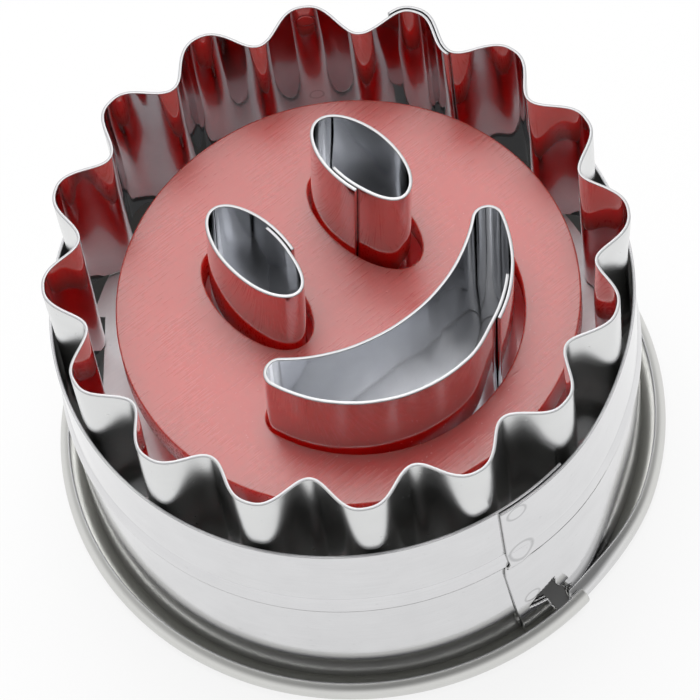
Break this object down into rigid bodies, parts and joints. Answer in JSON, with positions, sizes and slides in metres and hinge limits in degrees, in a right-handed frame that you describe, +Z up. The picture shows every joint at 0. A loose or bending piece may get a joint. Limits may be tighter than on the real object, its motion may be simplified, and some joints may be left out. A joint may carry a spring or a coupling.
{
  "type": "plunger cookie cutter",
  "caption": "Round fluted sheet-metal cookie cutter with a smiling-face motif, a rolled rim and a red plastic ejector plate that a sprung knob at the back pushes up.",
  "frame": {"origin": "centre of the rolled rim's underside, on the surface that the cutter stands on", "axes": "+Z up from the rim to the cutting edges, along the plunger's travel; +Y from the mouth cutter to the eye cutters"},
  "size_m": [0.053, 0.053, 0.033],
  "materials": {
    "satin_sheet": "light satin tin-plated sheet",
    "polished_sheet": "bright polished sheet with cut edges",
    "red_plastic": "matte moulded plastic with fine hairlines",
    "spring_steel": "bright drawn wire and turned steel"
  },
  "bodies": {
    "cutter_body": {"outer_sleeve": "satin_sheet", "fluted_cutter": "polished_sheet", "left_eye_cutter": "polished_sheet", "right_eye_cutter": "polished_sheet", "mouth_cutter": "polished_sheet", "carrier_plate": "satin_sheet", "return_spring": "spring_steel"},
    "plunger": {"ejector_plate": "red_plastic", "push_knob": "red_plastic", "knob_screw": "spring_steel"}
  },
  "joints": [
    {"name": "plunger_slide", "type": "slide", "parent": "cutter_body", "child": "plunger", "axis": [0, 0, 1], "range_m": [0, 0.0074], "stiffness_N_per_m": 900, "deforming": ["return_spring"]}
  ]
}
